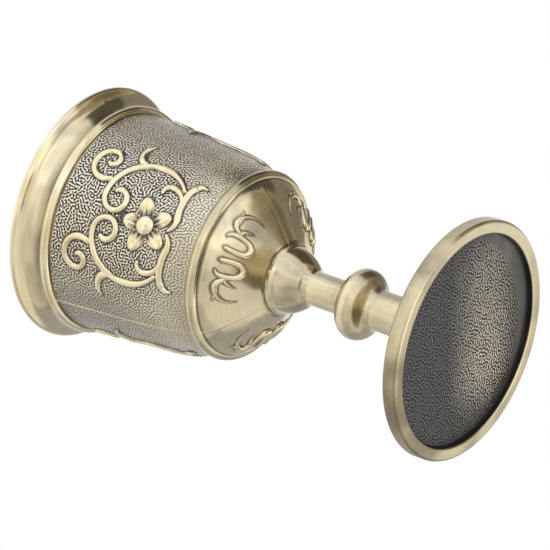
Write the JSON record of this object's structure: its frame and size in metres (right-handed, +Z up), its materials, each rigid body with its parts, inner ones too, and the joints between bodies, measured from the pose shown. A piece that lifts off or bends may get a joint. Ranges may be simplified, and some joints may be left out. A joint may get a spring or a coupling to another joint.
{
  "type": "stemmed goblet",
  "caption": "Small stemmed metal goblet: flared cup with raised scroll-and-flower relief on a grained wall, domed collar, round knop and dished disc foot.",
  "frame": {"origin": "centre of the foot's resting ring, on the plane that the goblet stands on", "axes": "+Z up along the axis of revolution to the lip, -Y through the middle of one flower panel"},
  "size_m": [0.0436, 0.0436, 0.0786],
  "materials": {
    "bronze": "antique bronze plating, brushed, dark patina left in the hollows",
    "steel": "plain turned"
  },
  "bodies": {
    "root": {"foot": "bronze", "knop": "bronze", "collar": "bronze", "bowl": "bronze", "tie_rod": "steel"}
  },
  "joints": []
}
